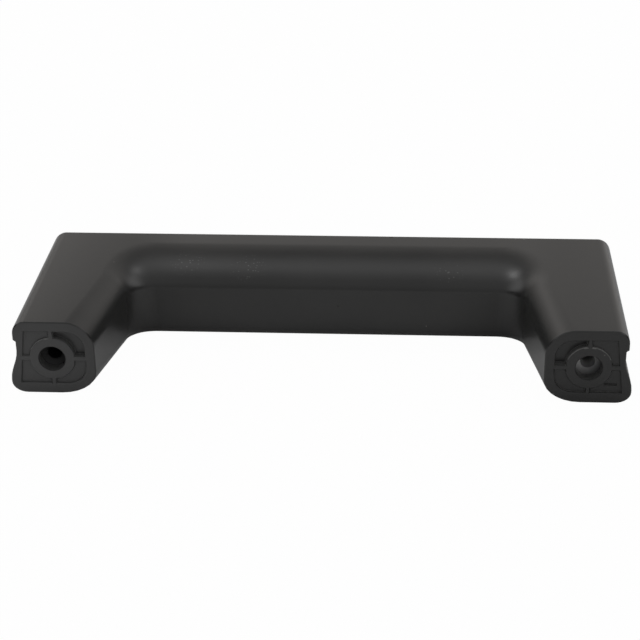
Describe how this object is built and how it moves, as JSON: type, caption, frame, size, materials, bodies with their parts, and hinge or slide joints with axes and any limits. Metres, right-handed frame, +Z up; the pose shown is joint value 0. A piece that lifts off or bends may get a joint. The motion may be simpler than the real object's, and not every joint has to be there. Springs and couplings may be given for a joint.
{
  "type": "car pull handle",
  "caption": "U-shaped pull handle moulded in one piece of satin black plastic, with a crowned grip bar and two flat-ended legs that take screws from behind.",
  "frame": {"origin": "centre of the bounding box on the flat underside, so the handle lies on z = 0 as in the picture", "axes": "+X along the grip bar, +Y from the end faces of the legs to the back of the bar, +Z up through the flat top"},
  "size_m": [0.186, 0.07, 0.024],
  "materials": {
    "black_plastic": "satin, fine moulded grain"
  },
  "bodies": {
    "root": {"handle_body": "black_plastic"}
  },
  "joints": []
}
